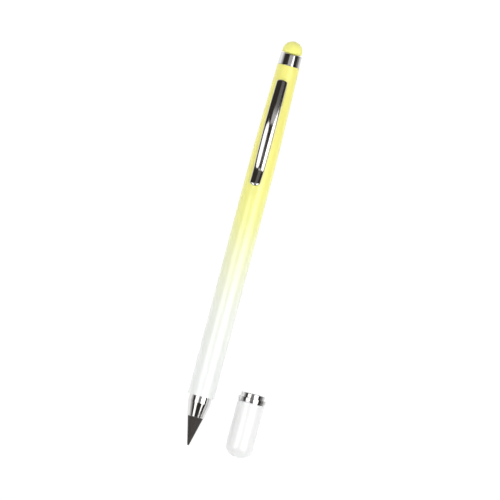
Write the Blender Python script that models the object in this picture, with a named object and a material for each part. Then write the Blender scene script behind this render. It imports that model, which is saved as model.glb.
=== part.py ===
"""Inkless metal pencil: lacquered barrel, plated nose and clip, alloy point, stylus dome, cap taken off.

The pencil lies along Y with its point towards -Y and its clip upwards. The cap lies beside the point.
Lengths are in metres. Along its axis, a turned piece is measured from the face that it seats on.
"""
import math

import bmesh
import bpy
from mathutils import Matrix

# Writing point
NIB_LENGTH = 0.0100
NIB_DIAMETER = 0.0054
NIB_TIP_RADIUS = 0.00035
NIB_HOLE_DEPTH = 0.0050
DRILL_POINT_ANGLE = math.radians(118)
STEM_PIN_DIAMETER = 0.0020
STEM_THREAD_DIAMETER = 0.0030
STEM_THREAD_LENGTH = 0.0055
STEM_NECK_LENGTH = 0.0006
STEM_NECK_DEPTH = 0.0003

# Nose
NOSE_CONE_LENGTH = 0.0050
NOSE_COLLAR_LENGTH = 0.0023
NOSE_LIP = 0.0002
NOSE_EDGE = 0.0001
NOSE_PLUG_LENGTH = 0.0070
NOSE_PLUG_CHAMFER = 0.0004
NOSE_BORE_DIAMETER = 0.0056

# Barrel
BARREL_LENGTH = 0.1173
BARREL_DIAMETER = 0.0092
BARREL_TOP_DIAMETER = 0.0078
BARREL_WALL = 0.00035
BARREL_EDGE = 0.00006
TAPER_LENGTH = 0.0295
TAPER_BLEND = 0.0040

# Collar and stylus dome at the top
COLLAR_LENGTH = 0.0041
COLLAR_STEP = 0.00010
COLLAR_TOP_DIAMETER = 0.0074
COLLAR_WALL = 0.00035
COLLAR_LIP = 0.0010
COLLAR_SPIGOT_LENGTH = 0.0036
COLLAR_EDGE = 0.0004
DOME_HEIGHT = 0.0042
DOME_DIAMETER = 0.00685
DOME_RIM = 0.0008
DOME_RIM_EDGE = 0.00015
DOME_WALL = 0.00070
DOME_GAP = 0.0003
NECK_DIAMETER = 0.0050
FOOT_THICKNESS = 0.0008
PLUG_LENGTH = 0.0016
PLUG_NOSE_HEIGHT = 0.0004
PLUG_EDGE = 0.00015

# Clip
CLIP_SETBACK = 0.0047
CLIP_LENGTH = 0.0380
CLIP_WIDTH = 0.00395
CLIP_NARROWING = 0.00034
CLIP_WIDEST = 0.0172
CLIP_THICKNESS = 0.0004
CLIP_CROWN = 0.00075
CLIP_LIP = 0.00025
CLIP_ROOT_RISE = 0.00038
CLIP_ROOT_ANGLE = math.radians(6.5)
CLIP_KNEE_ANGLE = math.radians(2)
CLIP_FALL_ANGLE = math.radians(-2.8)
CLIP_TIP_ANGLE = math.radians(14)
CLIP_KNEE = 0.0158
CLIP_CONTACT = 0.0323
CLIP_BEND_BLEND = 0.0012
CLIP_END_ROUND = 0.0012
CLIP_END_SHARE = 0.72
CLIP_END_BOW = 0.0004
CLIP_END_DROP = 0.00035
CHEEK_START = 0.0020
CHEEK_END = 0.0097
CHEEK_FADE = 0.0007
CHEEK_FLARE = 0.18
CHEEK_REACH = 0.0010
CHEEK_GAP = 0.0003
TANG_WIDTH = 0.0022
TANG_SETBACK = 0.0019
TANG_FOOT_LENGTH = 0.0020
TANG_CLEARANCE = 0.00015
RETAINER_LENGTH = 0.0090
RETAINER_BORE_DIAMETER = 0.0030
RETAINER_POCKET_GAP = 0.00025

# Cap
CAP_SPIGOT_LENGTH = 0.00145
CAP_SPIGOT_WALL = 0.00025
CAP_FLANGE_LENGTH = 0.0012
CAP_FLANGE_RISE = 0.00025
CAP_GROOVE_LENGTH = 0.00045
CAP_GROOVE_DEPTH = 0.00020
CAP_SLEEVE_LENGTH = 0.0035
CAP_RISE = 0.000075
CAP_WALL = 0.00035
CAP_DOME_DEPTH = 0.0038
CAP_EDGE = 0.00012
CAP_TIP_CLEARANCE = 0.00135
CAP_END_THICKNESS = 0.0023
LINER_WALL = 0.0006
LINER_LEAD_IN = 0.0004
LINER_DOME_GAP = 0.0001
RIB_COUNT = 6
RIB_WIDTH = 0.0005
RIB_HEIGHT = 0.0003
RIB_LENGTH = 0.0080
RIB_SETBACK = 0.0012
CAP_OFFSET = 0.01745
CAP_SETBACK = 0.0003

# Fits and facets
PRESS_GAP = 0.00005
THREAD_GAP = 0.00005
SEAM = 0.00005
END_GAP = 0.0003
SEGMENTS = 48
SMALL_SEGMENTS = 32
TAPER_STEPS = 9
TIP_STEPS = 4
DOME_STEPS = 9
INNER_DOME_STEPS = 6
LINER_DOME_STEPS = 4
CLIP_STEPS = 30
CLIP_FINE_STEPS = 4
CLIP_ARCH_STEPS = 8
SHARP_ANGLE = math.radians(32)

# Radii that follow from the sizes above
BORE_RADIUS = BARREL_DIAMETER / 2 - BARREL_WALL
TOP_BORE_RADIUS = BARREL_TOP_DIAMETER / 2 - BARREL_WALL
SPIGOT_RADIUS = BORE_RADIUS - PRESS_GAP
CAP_MOUTH_RADIUS = SPIGOT_RADIUS - CAP_SPIGOT_WALL
NOSE_RADIUS = CAP_MOUTH_RADIUS - PRESS_GAP
NOSE_FRONT_RADIUS = NIB_DIAMETER / 2 + NOSE_LIP
COLLAR_SPIGOT_RADIUS = TOP_BORE_RADIUS - PRESS_GAP
COLLAR_BORE_RADIUS = COLLAR_SPIGOT_RADIUS - COLLAR_WALL
NECK_RADIUS = NECK_DIAMETER / 2
NECK_BORE_RADIUS = NECK_RADIUS - DOME_WALL
CAP_RADIUS = BARREL_DIAMETER / 2 + CAP_RISE
CAP_FLANGE_RADIUS = BARREL_DIAMETER / 2 + CAP_FLANGE_RISE
CAP_BORE_RADIUS = CAP_RADIUS - CAP_WALL

# Places along the pencil's axis, from the tip of the point
NOSE_FRONT = NIB_LENGTH + SEAM
BARREL_MOUTH = NOSE_FRONT + NOSE_CONE_LENGTH + NOSE_COLLAR_LENGTH
BARREL_TOP = BARREL_MOUTH + BARREL_LENGTH
COLLAR_TOP = BARREL_TOP + SEAM + COLLAR_LENGTH
PENCIL_LENGTH = COLLAR_TOP + DOME_GAP + DOME_HEIGHT
CLIP_TOP = BARREL_TOP - CLIP_SETBACK
TANG_PLACE = CLIP_TOP - TANG_SETBACK

# Places along the cap's axis, from the face that meets the barrel's mouth, with the closed end at -Y
SHELL_MOUTH = -(CAP_FLANGE_LENGTH + CAP_GROOVE_LENGTH + SEAM)
LINER_FLOOR = -(NIB_LENGTH + NOSE_CONE_LENGTH + NOSE_COLLAR_LENGTH + CAP_TIP_CLEARANCE)
CAP_END = LINER_FLOOR - CAP_END_THICKNESS
DOME_START = CAP_END + CAP_DOME_DEPTH


def clear_scene():
    for item in list(bpy.data.objects):
        bpy.data.objects.remove(item, do_unlink=True)


def material(name, colour, roughness, metallic):
    made = bpy.data.materials.new(name)
    made.use_nodes = True
    shader = made.node_tree.nodes["Principled BSDF"]
    shader.inputs["Base Color"].default_value = (*colour, 1.0)
    shader.inputs["Roughness"].default_value = roughness
    shader.inputs["Metallic"].default_value = metallic
    return made


def axis_empty(name, location):
    empty = bpy.data.objects.new(name, None)
    bpy.context.collection.objects.link(empty)
    empty.location = location
    return empty


def place(name, bm, parent, along, surface, height=0.0):
    """Put a finished mesh into the scene on its parent's axis, shaded smooth with its edges sharp."""
    bmesh.ops.recalc_face_normals(bm, faces=bm.faces)
    mesh = bpy.data.meshes.new(name)
    bm.to_mesh(mesh)
    bm.free()
    mesh.shade_smooth()
    mesh.set_sharp_from_angle(angle=SHARP_ANGLE)
    mesh.materials.append(surface)
    item = bpy.data.objects.new(name, mesh)
    bpy.context.collection.objects.link(item)
    item.parent = parent
    item.location = (0.0, along, height)
    return item


def turned(name, outline, parent, along, surface, closed=False, segments=SEGMENTS):
    """Turn an outline of (radius, distance along Y) points about the Y axis.

    An open outline starts and ends on the axis. A closed one goes round a tube's wall.
    """
    bm = bmesh.new()
    points = [bm.verts.new((radius, distance, 0.0)) for radius, distance in outline]
    edges = [bm.edges.new(pair) for pair in zip(points, points[1:])]
    if closed:
        edges.append(bm.edges.new((points[-1], points[0])))
    bmesh.ops.spin(
        bm, geom=points + edges, cent=(0, 0, 0), axis=(0, 1, 0),
        angle=2 * math.pi, steps=segments, use_merge=True,
    )
    bmesh.ops.remove_doubles(bm, verts=bm.verts, dist=1e-7)
    return place(name, bm, parent, along, surface)


def ellipse(radius, depth, centre, start, end, steps):
    """Points on a quarter ellipse round the axis. 0 degrees is the widest place and 90 the pole."""
    points = []
    for step in range(steps + 1):
        angle = math.radians(start + (end - start) * step / steps)
        points.append((max(radius * math.cos(angle), 0.0), centre + depth * math.sin(angle)))
    return points


def on_axis(point):
    return (0.0, point[1])


def prism(bm, corners, sweep):
    """Add a face with these corners, extrude it, and give back the corners of both ends."""
    side = bm.faces.new([bm.verts.new(corner) for corner in corners])
    swept = bmesh.ops.extrude_face_region(bm, geom=[side])
    far = [item for item in swept["geom"] if isinstance(item, bmesh.types.BMVert)]
    bmesh.ops.translate(bm, vec=sweep, verts=far)
    return list(side.verts) + far


def box(name, low, high, parent, along, surface):
    bm = bmesh.new()
    floor = [(low[0], low[1]), (high[0], low[1]), (high[0], high[1]), (low[0], high[1])]
    prism(bm, [(x, y, low[2]) for x, y in floor], (0.0, 0.0, high[2] - low[2]))
    return place(name, bm, parent, along, surface)


def boolean(item, tool, operation):
    """Cut or join with a second object, which stays in the file as a wire guide."""
    tool.hide_render = True
    tool.display_type = "WIRE"
    change = item.modifiers.new(tool.name, "BOOLEAN")
    change.operation = operation
    change.solver = "EXACT"
    change.object = tool


def ramp(distance, blend):
    """Nothing before zero and the distance itself after it, with a soft corner."""
    return (distance + math.sqrt(distance ** 2 + blend ** 2)) / 2


def fade(value):
    """A smooth step from 0 to 1."""
    value = min(max(value, 0.0), 1.0)
    return value * value * (3 - 2 * value)


def taper_share(along):
    """How far the barrel has tapered at a distance from its mouth: 0 at the mouth and 1 at the top."""
    before = ramp(TAPER_LENGTH - BARREL_LENGTH, TAPER_BLEND)
    here = ramp(along - (BARREL_LENGTH - TAPER_LENGTH), TAPER_BLEND)
    return (here - before) / (ramp(TAPER_LENGTH, TAPER_BLEND) - before)


def barrel_radius(along):
    return (BARREL_DIAMETER - (BARREL_DIAMETER - BARREL_TOP_DIAMETER) * taper_share(along)) / 2


def bore_radius(along):
    return barrel_radius(along) - BARREL_WALL


def barrel_and_slot(pencil, lacquer):
    """Drawn tube with an even wall, straight and then tapered, with a slot for the clip's tang."""
    first = BARREL_LENGTH - TAPER_LENGTH - 2 * TAPER_BLEND
    last = BARREL_LENGTH - BARREL_EDGE
    stations = [first + (last - first) * step / TAPER_STEPS for step in range(TAPER_STEPS + 1)]
    outline = [
        (BORE_RADIUS, 0.0),
        (BARREL_DIAMETER / 2 - BARREL_EDGE, 0.0),
        (BARREL_DIAMETER / 2, BARREL_EDGE),
    ]
    outline += [(barrel_radius(station), station) for station in stations]
    outline += [
        (BARREL_TOP_DIAMETER / 2 - BARREL_EDGE, BARREL_LENGTH),
        (TOP_BORE_RADIUS, BARREL_LENGTH),
    ]
    outline += [(bore_radius(station), station) for station in reversed(stations)]
    barrel = turned("barrel", outline, pencil, BARREL_MOUTH, lacquer, closed=True)

    half_length = CLIP_THICKNESS / 2 + TANG_CLEARANCE
    half_width = TANG_WIDTH / 2 + TANG_CLEARANCE
    low = (-half_width, -half_length, 0.0)
    high = (half_width, half_length, BARREL_DIAMETER)
    slot = box("clip_slot_cut", low, high, pencil, TANG_PLACE, lacquer)
    boolean(barrel, slot, "DIFFERENCE")


def nose_cone(pencil, plating):
    """Turned nose: a cone, a straight collar with room round it for the cap's spigot, and a press plug."""
    plug_start = NOSE_CONE_LENGTH + NOSE_COLLAR_LENGTH + CAP_SPIGOT_LENGTH + END_GAP
    plug_end = plug_start + NOSE_PLUG_LENGTH
    thread_radius = STEM_THREAD_DIAMETER / 2 + THREAD_GAP
    thread_end = STEM_THREAD_LENGTH + END_GAP
    outline = [
        (thread_radius, 0.0),
        (NOSE_FRONT_RADIUS - NOSE_EDGE, 0.0),
        (NOSE_FRONT_RADIUS, NOSE_EDGE),
        (NOSE_RADIUS - NOSE_EDGE / 2, NOSE_CONE_LENGTH - NOSE_EDGE),
        (NOSE_RADIUS, NOSE_CONE_LENGTH + NOSE_EDGE),
        (NOSE_RADIUS, plug_start),
        (SPIGOT_RADIUS - NOSE_EDGE, plug_start),
        (SPIGOT_RADIUS, plug_start + NOSE_EDGE),
        (SPIGOT_RADIUS, plug_end - NOSE_PLUG_CHAMFER),
        (SPIGOT_RADIUS - NOSE_PLUG_CHAMFER / 2, plug_end),
        (NOSE_BORE_DIAMETER / 2, plug_end),
        (NOSE_BORE_DIAMETER / 2, thread_end + NOSE_BORE_DIAMETER / 2 - thread_radius),
        (thread_radius, thread_end),
    ]
    turned("nose_cone", outline, pencil, NOSE_FRONT, plating, closed=True)


def nib_point(pencil, alloy):
    """Writing cone with a small round tip, drilled from behind for its stem."""
    centre = NIB_TIP_RADIUS - NIB_LENGTH
    radius = NIB_DIAMETER / 2
    half_angle = math.atan2(radius, -centre) - math.asin(NIB_TIP_RADIUS / math.hypot(radius, centre))
    tip = ellipse(NIB_TIP_RADIUS, -NIB_TIP_RADIUS, centre, 90, math.degrees(half_angle), TIP_STEPS)
    tip[0] = on_axis(tip[0])
    hole = STEM_PIN_DIAMETER / 2 + PRESS_GAP
    outline = tip + [
        (radius - PRESS_GAP * math.tan(half_angle), -PRESS_GAP),
        (radius - PRESS_GAP, 0.0),
        (hole, 0.0),
        (hole, -NIB_HOLE_DEPTH),
        (0.0, -NIB_HOLE_DEPTH - hole / math.tan(DRILL_POINT_ANGLE / 2)),
    ]
    turned("nib_point", outline, pencil, NIB_LENGTH, alloy)


def nib_stem(pencil, steel):
    """Threaded stud: its pin is fixed in the point and its thread screws into the nose."""
    pin = STEM_PIN_DIAMETER / 2
    pin_end = PRESS_GAP - NIB_HOLE_DEPTH
    thread = STEM_THREAD_DIAMETER / 2
    neck = thread - STEM_NECK_DEPTH
    edge = STEM_NECK_DEPTH / 2
    foot = SEAM * 2
    outline = [
        (0.0, pin_end),
        (pin - edge, pin_end),
        (pin, pin_end + edge),
        (pin, foot),
        (neck, foot),
        (neck, foot + STEM_NECK_LENGTH),
        (thread, foot + STEM_NECK_LENGTH + edge),
        (thread, STEM_THREAD_LENGTH - edge),
        (thread - edge, STEM_THREAD_LENGTH),
        (0.0, STEM_THREAD_LENGTH),
    ]
    turned("nib_stem", outline, pencil, NIB_LENGTH, steel, segments=SMALL_SEGMENTS)


def top_collar(pencil, plating):
    """Plated collar that flares to the barrel, with a lip for the dome's neck and a spigot in the barrel."""
    foot_radius = BARREL_TOP_DIAMETER / 2 - COLLAR_STEP
    lip_radius = NECK_RADIUS + PRESS_GAP
    outline = [(foot_radius - COLLAR_STEP, 0.0), (foot_radius, COLLAR_STEP)]
    for angle in (0.0, math.pi / 4, math.pi / 2):
        inward = COLLAR_EDGE * (1 - math.cos(angle))
        down = COLLAR_EDGE * (1 - math.sin(angle))
        outline.append((COLLAR_TOP_DIAMETER / 2 - inward, COLLAR_LENGTH - down))
    outline += [
        (lip_radius, COLLAR_LENGTH),
        (lip_radius, COLLAR_LENGTH - COLLAR_LIP),
        (COLLAR_BORE_RADIUS, COLLAR_LENGTH - COLLAR_LIP),
        (COLLAR_BORE_RADIUS, -COLLAR_SPIGOT_LENGTH),
        (COLLAR_SPIGOT_RADIUS - COLLAR_STEP, -COLLAR_SPIGOT_LENGTH),
        (COLLAR_SPIGOT_RADIUS, COLLAR_STEP - COLLAR_SPIGOT_LENGTH),
        (COLLAR_SPIGOT_RADIUS, 0.0),
    ]
    turned("top_collar", outline, pencil, BARREL_TOP + SEAM, plating, closed=True)


def stylus_dome(pencil, rubber):
    """Hollow rubber dome with a rolled rim, a neck through the collar's lip and a foot below it."""
    top = DOME_GAP + DOME_HEIGHT
    widest = DOME_GAP + DOME_RIM
    radius = DOME_DIAMETER / 2
    outer = ellipse(radius, top - widest, widest, 90, 0, DOME_STEPS)
    outer[0] = on_axis(outer[0])
    inner = ellipse(radius - DOME_WALL, top - widest - DOME_WALL, widest, 0, 90, INNER_DOME_STEPS)
    inner[-1] = on_axis(inner[-1])
    foot_top = -COLLAR_LIP - PRESS_GAP
    foot_radius = COLLAR_BORE_RADIUS - PRESS_GAP * 2
    outline = outer + [
        (radius, DOME_GAP + DOME_RIM_EDGE),
        (radius - DOME_RIM_EDGE, DOME_GAP),
        (NECK_RADIUS, DOME_GAP),
        (NECK_RADIUS, foot_top),
        (foot_radius, foot_top),
        (foot_radius, foot_top - FOOT_THICKNESS),
        (NECK_BORE_RADIUS, foot_top - FOOT_THICKNESS),
        (NECK_BORE_RADIUS, widest),
    ] + inner
    turned("stylus_dome", outline, pencil, COLLAR_TOP, rubber)


def stylus_plug(pencil, brass):
    """Plug pressed into the collar behind the dome's foot, with a nose that fills the neck."""
    seat = -COLLAR_LIP - PRESS_GAP - FOOT_THICKNESS - SEAM
    nose = NECK_BORE_RADIUS - PRESS_GAP
    body = COLLAR_BORE_RADIUS - PRESS_GAP
    outline = [
        (0.0, seat - PLUG_LENGTH),
        (body - PLUG_EDGE, seat - PLUG_LENGTH),
        (body, seat - PLUG_LENGTH + PLUG_EDGE),
        (body, seat),
        (nose, seat),
        (nose, PLUG_NOSE_HEIGHT - PLUG_EDGE),
        (nose - PLUG_EDGE, PLUG_NOSE_HEIGHT),
        (0.0, PLUG_NOSE_HEIGHT),
    ]
    turned("stylus_plug", outline, pencil, COLLAR_TOP, brass, segments=SMALL_SEGMENTS)


def clip_half_width(along):
    """Half the clip's width at a distance from its top end: widest past the knee, with rounded ends."""
    reach = (along - CLIP_WIDEST) / CLIP_WIDEST
    full = (CLIP_WIDTH - CLIP_NARROWING * reach ** 2) / 2
    from_end = min(along, CLIP_LENGTH - along) / CLIP_END_ROUND
    if from_end >= 1:
        return full
    return full * (CLIP_END_SHARE + (1 - CLIP_END_SHARE) * math.sqrt(1 - (1 - from_end) ** 2))


def clip_edge_height(along):
    """Height of the clip's edges above the pencil's axis: an arc to the knee, down to the contact, then up."""
    rise = math.tan(CLIP_ROOT_ANGLE)
    knee = math.tan(CLIP_KNEE_ANGLE)
    fall = math.tan(CLIP_FALL_ANGLE)
    arc = min(along, CLIP_KNEE)
    height = barrel_radius(BARREL_LENGTH - CLIP_SETBACK) + CLIP_ROOT_RISE + rise * along
    height += (knee - rise) * (along - arc + arc ** 2 / (2 * CLIP_KNEE))
    height += (fall - knee) * ramp(along - CLIP_KNEE, CLIP_BEND_BLEND)
    height += (math.tan(CLIP_TIP_ANGLE) - fall) * ramp(along - CLIP_CONTACT, CLIP_BEND_BLEND)
    from_end = min(along, CLIP_LENGTH - along) / CLIP_END_ROUND
    return height - CLIP_END_DROP * max(1 - from_end, 0.0) ** 2


def clip_side_depth(along):
    """How far the clip's sides reach down: a short lip, and at the root cheeks that end near the barrel."""
    foot = clip_half_width(along) + CHEEK_FLARE * CHEEK_REACH
    barrel_here = barrel_radius(BARREL_LENGTH - CLIP_SETBACK - along)
    seat = math.sqrt(barrel_here ** 2 - foot ** 2) + CHEEK_GAP
    full = max(clip_edge_height(along) - seat, CLIP_LIP)
    window = fade((along - CHEEK_START) / CHEEK_FADE) * fade((CHEEK_END - along) / CHEEK_FADE)
    return CLIP_LIP + (full - CLIP_LIP) * window


def clip_section(along, height):
    """Outer and inner line across the clip, from the left foot over the arch to the right foot."""
    half = clip_half_width(along)
    edge = clip_edge_height(along) - height
    depth = clip_side_depth(along)
    end_bow = CLIP_END_BOW * max(1 - along / CLIP_END_ROUND, 0.0)
    end_bow -= CLIP_END_BOW * max(1 - (CLIP_LENGTH - along) / CLIP_END_ROUND, 0.0)
    lines = []
    for inset in (0.0, CLIP_THICKNESS):
        width = half - inset
        foot = width + CHEEK_FLARE * depth
        line = [(-foot, edge - depth)]
        for step in range(CLIP_ARCH_STEPS + 1):
            angle = math.pi * (step / CLIP_ARCH_STEPS - 0.5)
            line.append((width * math.sin(angle), edge + (CLIP_CROWN - inset) * math.cos(angle)))
        line.append((foot, edge - depth))
        lines.append([(x, TANG_SETBACK - along - end_bow * (x / width) ** 2, z) for x, z in line])
    return lines


def clip_stations():
    """Places for the clip's sections, closer together at both ends and at both ends of the cheeks."""
    places = {CLIP_LENGTH * step / CLIP_STEPS for step in range(CLIP_STEPS + 1)}
    for step in range(1, CLIP_FINE_STEPS + 1):
        share = step / CLIP_FINE_STEPS
        places |= {CLIP_END_ROUND * share ** 2, CLIP_LENGTH - CLIP_END_ROUND * share ** 2}
        places |= {CHEEK_START + CHEEK_FADE * share, CHEEK_END - CHEEK_FADE * share}
    ordered = sorted(places)
    closest = CHEEK_FADE / (CLIP_FINE_STEPS + 1)
    kept = [here for here, after in zip(ordered, ordered[1:]) if after - here > closest]
    return kept + ordered[-1:]


def clip(pencil, plating):
    """Pressed clip: an arched strip with cheeks at its root, and a tang bent under the barrel's wall.

    Its origin is where the tang passes through the wall, the place it flexes about.
    """
    slot_radius = barrel_radius(TANG_PLACE - BARREL_MOUTH)
    hinge_height = slot_radius - BARREL_WALL / 2
    bm = bmesh.new()
    rings = []
    for along in clip_stations():
        outer, inner = clip_section(along, hinge_height)
        rings.append([[bm.verts.new(point) for point in line] for line in (outer, inner)])
    for one, two in zip(rings, rings[1:]):
        for line_one, line_two in zip(one, two):
            for i in range(len(line_one) - 1):
                bm.faces.new((line_one[i], line_one[i + 1], line_two[i + 1], line_two[i]))
        for end in (0, -1):
            bm.faces.new((one[0][end], two[0][end], two[1][end], one[1][end]))
    for outer, inner in (rings[0], rings[-1]):
        for i in range(len(outer) - 1):
            bm.faces.new((outer[i], outer[i + 1], inner[i + 1], inner[i]))
    strip = place("clip", bm, pencil, TANG_PLACE, plating, hinge_height)

    under_wall = math.sqrt((slot_radius - BARREL_WALL) ** 2 - (TANG_WIDTH / 2) ** 2)
    foot_top = under_wall - TANG_CLEARANCE - hinge_height
    foot_under = foot_top - CLIP_THICKNESS
    half = CLIP_THICKNESS / 2
    inside_strip = clip_edge_height(TANG_SETBACK) - hinge_height + CLIP_CROWN - half
    profile = [
        (-half, inside_strip),
        (half, inside_strip),
        (half, foot_top),
        (TANG_FOOT_LENGTH, foot_top),
        (TANG_FOOT_LENGTH, foot_under),
        (0.0, foot_under),
        (-half, foot_under + half),
    ]
    bm = bmesh.new()
    prism(bm, [(-TANG_WIDTH / 2, y, z) for y, z in profile], (TANG_WIDTH, 0.0, 0.0))
    tang = place("clip_tang_form", bm, pencil, TANG_PLACE, plating, hinge_height)
    boolean(strip, tang, "UNION")
    return hinge_height + foot_under


def clip_retainer(pencil, plastic, tang_under):
    """Moulded bush wedged in the barrel's taper, with a flat pocket that the tang's foot lies in."""
    top = BARREL_TOP - COLLAR_SPIGOT_LENGTH - END_GAP
    bore = RETAINER_BORE_DIAMETER / 2
    outline = [(bore, 0.0), (bore, -RETAINER_LENGTH)]
    for distance in (-RETAINER_LENGTH, -RETAINER_LENGTH / 2, 0.0):
        outline.append((bore_radius(top + distance - BARREL_MOUTH) - PRESS_GAP, distance))
    bush = turned("clip_retainer", outline, pencil, top, plastic, closed=True, segments=SMALL_SEGMENTS)

    pocket_start = TANG_PLACE - top - TANG_CLEARANCE - CLIP_THICKNESS
    low = (-BARREL_DIAMETER, pocket_start, tang_under - RETAINER_POCKET_GAP)
    high = (BARREL_DIAMETER, RETAINER_LENGTH, BARREL_DIAMETER)
    pocket = box("retainer_pocket_cut", low, high, pencil, top, plastic)
    boolean(bush, pocket, "DIFFERENCE")


def cap_ring(cap, plating):
    """Ring on the cap's mouth: thin spigot, flange, shadow groove and the sleeve pressed into the shell."""
    groove = CAP_FLANGE_RADIUS - CAP_GROOVE_DEPTH
    groove_end = -CAP_FLANGE_LENGTH - CAP_GROOVE_LENGTH
    sleeve = CAP_BORE_RADIUS - PRESS_GAP
    sleeve_end = groove_end - CAP_SLEEVE_LENGTH
    outline = [
        (CAP_MOUTH_RADIUS, CAP_SPIGOT_LENGTH),
        (SPIGOT_RADIUS - PRESS_GAP, CAP_SPIGOT_LENGTH),
        (SPIGOT_RADIUS, CAP_SPIGOT_LENGTH - PRESS_GAP),
        (SPIGOT_RADIUS, 0.0),
        (CAP_FLANGE_RADIUS - CAP_EDGE, 0.0),
        (CAP_FLANGE_RADIUS, -CAP_EDGE),
        (CAP_FLANGE_RADIUS, CAP_EDGE - CAP_FLANGE_LENGTH),
        (CAP_FLANGE_RADIUS - CAP_EDGE, -CAP_FLANGE_LENGTH),
        (groove, -CAP_FLANGE_LENGTH),
        (groove, groove_end),
        (sleeve, groove_end),
        (sleeve, sleeve_end + CAP_EDGE),
        (sleeve - CAP_EDGE, sleeve_end),
        (CAP_MOUTH_RADIUS, sleeve_end),
    ]
    turned("cap_ring", outline, cap, 0.0, plating, closed=True)


def cap_shell(cap, lacquer):
    """Drawn cap: a thin tube that closes in a flattened dome."""
    inner = ellipse(CAP_BORE_RADIUS, CAP_WALL - CAP_DOME_DEPTH, DOME_START, 90, 0, INNER_DOME_STEPS)
    inner[0] = on_axis(inner[0])
    outer = ellipse(CAP_RADIUS, -CAP_DOME_DEPTH, DOME_START, 0, 90, DOME_STEPS)
    outer[-1] = on_axis(outer[-1])
    mouth = [
        (CAP_BORE_RADIUS, SHELL_MOUTH),
        (CAP_RADIUS - CAP_EDGE, SHELL_MOUTH),
        (CAP_RADIUS, SHELL_MOUTH - CAP_EDGE),
    ]
    turned("cap_shell", inner + mouth + outer, cap, 0.0, lacquer)


def cap_liner(cap, plastic):
    """Moulded cup inside the cap, with ribs that hold the nose."""
    radius = CAP_BORE_RADIUS - PRESS_GAP
    bore = radius - LINER_WALL
    mouth = SHELL_MOUTH - CAP_SLEEVE_LENGTH - END_GAP
    dome = ellipse(radius, CAP_WALL + LINER_DOME_GAP - CAP_DOME_DEPTH, DOME_START, 45, 0, LINER_DOME_STEPS)
    end_radius, end = dome[0]
    outline = [(0.0, end)] + dome + [
        (radius, mouth),
        (bore + LINER_LEAD_IN, mouth),
        (bore, mouth - LINER_LEAD_IN * 2),
        (bore, DOME_START),
        (end_radius - LINER_WALL, LINER_FLOOR),
        (0.0, LINER_FLOOR),
    ]
    liner = turned("cap_liner", outline, cap, 0.0, plastic)

    rib_start = mouth - RIB_SETBACK
    rib_end = rib_start - RIB_LENGTH
    crest = bore - RIB_HEIGHT
    root = bore + LINER_WALL / 2
    profile = [
        (root, rib_start),
        (bore, rib_start),
        (crest, rib_start - RIB_HEIGHT * 2),
        (crest, rib_end),
        (root, rib_end),
    ]
    bm = bmesh.new()
    for count in range(RIB_COUNT):
        rib = prism(bm, [(x, y, -RIB_WIDTH / 2) for x, y in profile], (0.0, 0.0, RIB_WIDTH))
        turn = Matrix.Rotation(2 * math.pi * (count + 0.5) / RIB_COUNT, 3, "Y")
        bmesh.ops.rotate(bm, cent=(0, 0, 0), matrix=turn, verts=rib)
    ribs = place("liner_ribs_form", bm, cap, 0.0, plastic)
    boolean(liner, ribs, "UNION")


def main():
    clear_scene()
    middle = (CAP_OFFSET + CAP_FLANGE_RISE) / 2
    pencil = axis_empty("pencil_axis", (-middle, -PENCIL_LENGTH / 2, BARREL_DIAMETER / 2))
    cap_place = CAP_SETBACK - CAP_END - PENCIL_LENGTH / 2
    cap = axis_empty("cap_axis", (CAP_OFFSET - middle, cap_place, CAP_FLANGE_RADIUS))

    yellow_lacquer = material("yellow_lacquer", (0.93, 0.91, 0.42), 0.28, 0.0)
    white_lacquer = material("white_lacquer", (0.90, 0.91, 0.90), 0.28, 0.0)
    chrome = material("chrome_plating", (0.80, 0.79, 0.78), 0.06, 1.0)
    alloy = material("graphite_alloy", (0.085, 0.075, 0.068), 0.48, 0.3)
    steel = material("steel", (0.55, 0.54, 0.52), 0.30, 1.0)
    brass = material("brass", (0.72, 0.56, 0.28), 0.30, 1.0)
    rubber = material("yellow_rubber", (0.95, 0.90, 0.25), 0.62, 0.0)
    plastic = material("natural_plastic", (0.72, 0.72, 0.70), 0.45, 0.0)

    barrel_and_slot(pencil, yellow_lacquer)
    nose_cone(pencil, chrome)
    nib_point(pencil, alloy)
    nib_stem(pencil, steel)
    top_collar(pencil, chrome)
    stylus_dome(pencil, rubber)
    stylus_plug(pencil, brass)
    tang_under = clip(pencil, chrome)
    clip_retainer(pencil, plastic, tang_under)
    cap_ring(cap, chrome)
    cap_shell(cap, white_lacquer)
    cap_liner(cap, plastic)


main()
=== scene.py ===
import math

import bmesh
import bpy
from mathutils import Matrix, Vector


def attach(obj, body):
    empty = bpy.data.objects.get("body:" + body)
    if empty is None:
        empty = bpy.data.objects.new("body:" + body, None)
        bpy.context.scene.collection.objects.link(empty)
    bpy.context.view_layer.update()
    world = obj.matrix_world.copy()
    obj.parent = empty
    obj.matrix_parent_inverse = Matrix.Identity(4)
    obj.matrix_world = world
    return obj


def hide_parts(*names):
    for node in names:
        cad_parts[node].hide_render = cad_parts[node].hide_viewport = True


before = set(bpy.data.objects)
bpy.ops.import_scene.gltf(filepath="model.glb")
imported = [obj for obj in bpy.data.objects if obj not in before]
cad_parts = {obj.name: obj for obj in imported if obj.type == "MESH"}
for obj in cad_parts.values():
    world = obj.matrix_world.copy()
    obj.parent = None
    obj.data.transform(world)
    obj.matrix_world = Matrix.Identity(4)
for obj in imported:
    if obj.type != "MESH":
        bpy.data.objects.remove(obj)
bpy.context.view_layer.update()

# The barrel is a drawn aluminium tube, straight from its mouth and tapered to the top, with a slot
# for the clip's tang. It is sprayed from white at the writing end to yellow, under a satin coat,
# and its cut rim and its bore are left bare.
PENCIL_AXIS = Vector((-0.00885, 0.0, 0.0046))
BARREL_MOUTH = -0.0543
BARREL_TOP = 0.0630
BARREL_RADIUS = 0.0046
BARREL_TOP_RADIUS = 0.0039
BARREL_WALL = 0.00035
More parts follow.
